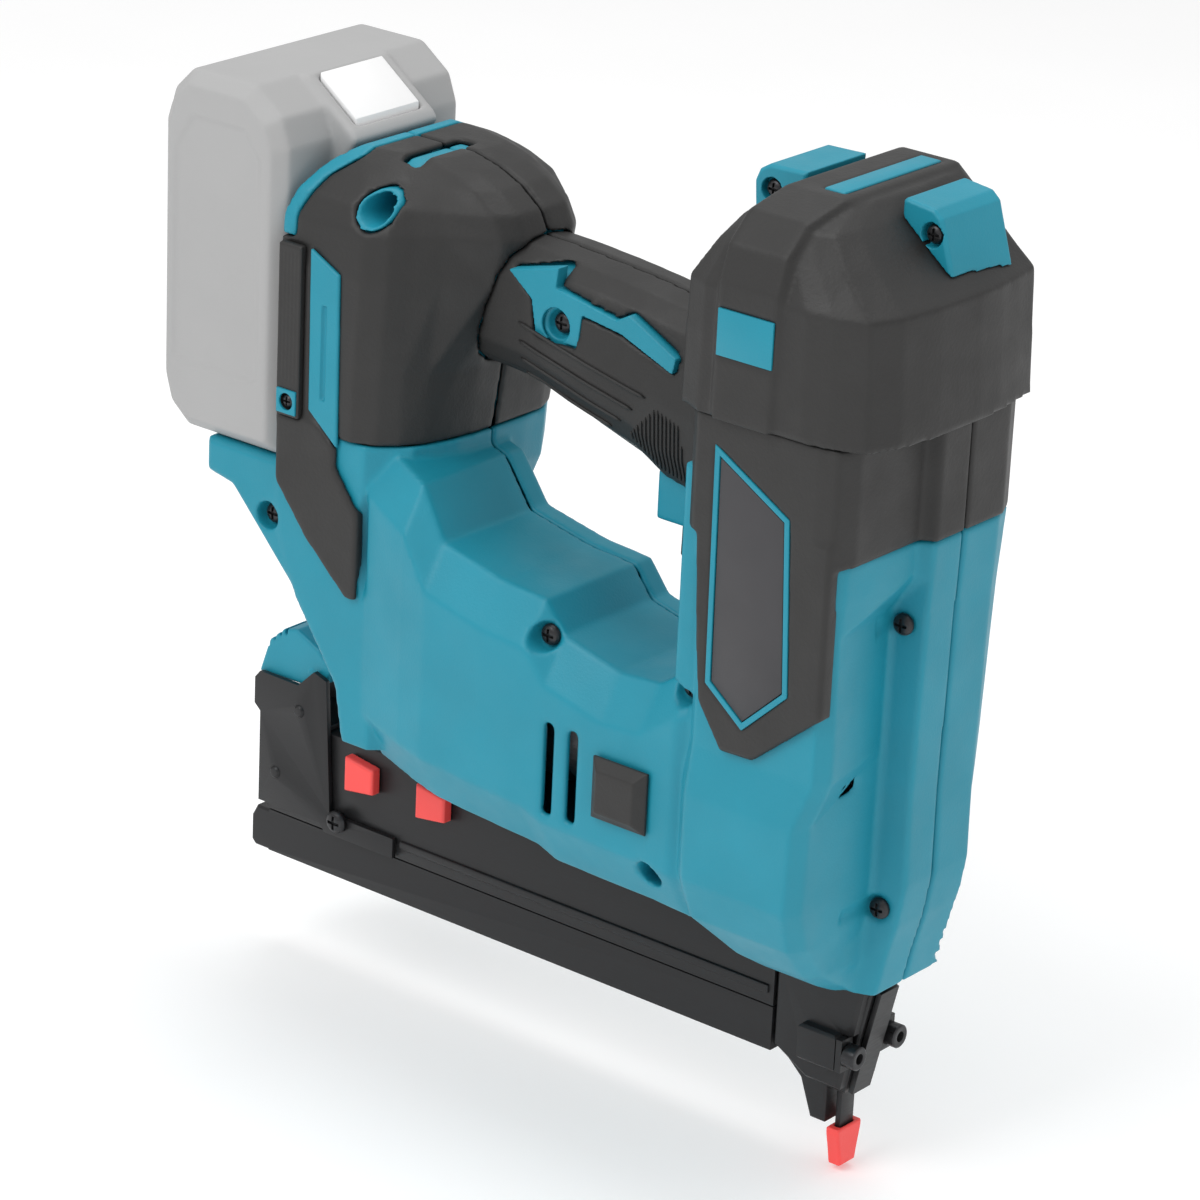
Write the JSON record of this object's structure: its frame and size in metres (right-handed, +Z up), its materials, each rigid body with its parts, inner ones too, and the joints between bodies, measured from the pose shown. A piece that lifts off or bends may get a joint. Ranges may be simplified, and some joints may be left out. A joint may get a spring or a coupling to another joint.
{
  "type": "brad nailer",
  "caption": "Battery brad nailer with an upright driving head, a bridging grip, a rear battery column, a low motor housing and a straight magazine behind a narrow nose.",
  "frame": {"origin": "centre of the contact tip's bottom face, on the plane where the clamshell halves meet", "axes": "+X towards the front of the head, +Y towards the tool's left, +Z up along the drive line"},
  "size_m": [0.2641, 0.0948, 0.2889],
  "materials": {
    "teal": "satin moulded nylon",
    "black": "matt elastomer",
    "dark": "satin black",
    "blackened": "black oxide and paint",
    "steel": "ground",
    "bolt": "black oxide",
    "alloy": "cast",
    "copper": "wound",
    "bumper": "matt",
    "coral": "satin",
    "pack": "pale grey, ghosted",
    "button": "near white",
    "board": "coated board"
  },
  "bodies": {
    "tool": {"cap_clip_front": "teal", "cap_clip_rear": "teal", "collar_far": "black", "collar_near": "black", "contact_spring": "steel", "controller_board": "board", "cylinder": "alloy", "cylinder_head": "alloy", "dome_skin_far": "black", "dome_skin_near": "black", "gearbox": "alloy", "grip_inlay": "teal", "grip_skin_far": "black", "grip_skin_near": "black", "head_cap": "black", "housing_far": "teal", "housing_near": "teal", "label_frame": "teal", "label_plate": "dark", "magazine_track": "blackened", "motor_can": "steel", "motor_pad": "black", "nose_body": "blackened", "nose_bolt_far": "bolt", "nose_bolt_near": "bolt", "nose_plate": "blackened", "rear_bracket": "blackened", "return_bumper": "bumper", "screw_bumper": "bolt", "screw_cap_clip_front": "bolt", "screw_cap_clip_rear": "bolt", "screw_grip": "bolt", "screw_head_lower": "bolt", "screw_head_upper": "bolt", "screw_ledge": "bolt", "screw_magazine": "bolt", "screw_motor_front": "bolt", "screw_motor_lower": "bolt", "screw_motor_rear": "bolt", "side_bumper": "black", "side_panel": "teal", "side_window": "teal", "spare_tip_front": "coral", "spare_tip_rear": "coral", "terminal_block": "dark", "top_strip": "teal", "trigger_switch": "dark"},
    "trigger": {"trigger": "dark"},
    "contact_foot": {"contact_arm": "blackened", "contact_tip": "coral"},
    "driver": {"piston": "alloy", "driver_blade": "steel"},
    "rotor": {"motor_rotor": "copper"},
    "lifter": {"lifter_wheel": "steel"},
    "magazine_slide": {"magazine_cover": "blackened", "pusher_spring": "steel"},
    "pusher": {"pusher": "dark"},
    "lever": {"release_lever": "teal"},
    "pack": {"battery_pack": "pack"},
    "release_button": {"pack_button": "button"}
  },
  "joints": [
    {"name": "trigger_pull", "type": "hinge", "parent": "tool", "child": "trigger", "pos_m": [-0.048, 0, 0.2], "axis": [0, 1, 0], "range_deg": [0, 9], "stiffness_Nm_per_rad": 0.25, "springref_deg": -20.05},
    {"name": "contact_press", "type": "slide", "parent": "tool", "child": "contact_foot", "axis": [0, 0, 1], "range_m": [0, 0.009], "stiffness_N_per_m": 250, "springref_m": -0.006, "deforming": ["contact_spring"]},
    {"name": "driver_stroke", "type": "slide", "parent": "tool", "child": "driver", "axis": [0, 0, -1], "range_m": [0, 0.058]},
    {"name": "lifter_turn", "type": "hinge", "parent": "tool", "child": "lifter", "pos_m": [-0.004, -0.015, 0.116], "axis": [1, 0, 0], "continuous": true},
    {"name": "rotor_turn", "type": "hinge", "parent": "tool", "child": "rotor", "pos_m": [-0.1, -0.015, 0.116], "axis": [1, 0, 0], "continuous": true},
    {"name": "magazine_open", "type": "slide", "parent": "tool", "child": "magazine_slide", "axis": [-1, 0, 0], "range_m": [0, 0.12]},
    {"name": "pusher_travel", "type": "slide", "parent": "magazine_slide", "child": "pusher", "axis": [-1, 0, 0], "range_m": [0, 0.15], "stiffness_N_per_m": 30, "springref_m": -0.05, "deforming": ["pusher_spring"]},
    {"name": "lever_press", "type": "hinge", "parent": "tool", "child": "lever", "pos_m": [-0.196, 0, 0.0925], "axis": [0, -1, 0], "range_deg": [0, 10], "stiffness_Nm_per_rad": 0.3, "springref_deg": -17.19},
    {"name": "pack_slide", "type": "slide", "parent": "tool", "child": "pack", "axis": [0, 0, 1], "range_m": [0, 0.085]},
    {"name": "pack_release", "type": "slide", "parent": "pack", "child": "release_button", "axis": [0, 0, -1], "range_m": [0, 0.0025], "stiffness_N_per_m": 300, "springref_m": -0.003}
  ],
  "couplings": [
    {"joint": "rotor_turn", "follows": "lifter_turn", "ratio": 24}
  ]
}
